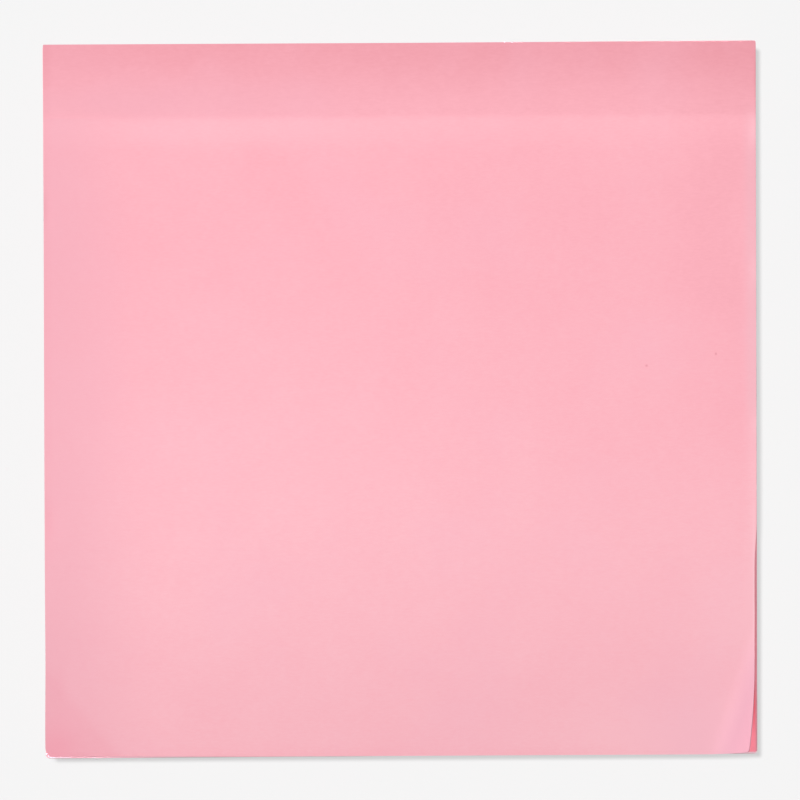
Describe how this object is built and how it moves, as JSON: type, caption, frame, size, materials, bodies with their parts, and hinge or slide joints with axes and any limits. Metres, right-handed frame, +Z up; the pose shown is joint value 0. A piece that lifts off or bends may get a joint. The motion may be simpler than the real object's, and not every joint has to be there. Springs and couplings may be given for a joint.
{
  "type": "sticky note pad",
  "caption": "Square pad of self-stick paper notes, gummed along one edge and backed by a coated sheet, with its top note bowed a little and curling up at a free corner.",
  "frame": {"origin": "middle of the backing sheet's lower face, where the pad rests on a table", "axes": "+X across the pad to its right, +Y towards the gummed edge, +Z up out of the top note"},
  "size_m": [0.0761, 0.0762, 0.0125],
  "materials": {
    "note_paper": "uncoated, dyed through, soft pink",
    "stacked_paper": "cut edges of a tight stack of the same pink paper",
    "backing_paper": "off-white, coated on the gum side",
    "gum": "thin, clear and tacky"
  },
  "bodies": {
    "root": {"backing_sheet": "backing_paper", "backing_gum": "gum", "note_block": "stacked_paper", "second_note_gum": "gum", "second_note": "note_paper", "top_note_gum": "gum", "top_note": "note_paper"}
  },
  "joints": []
}
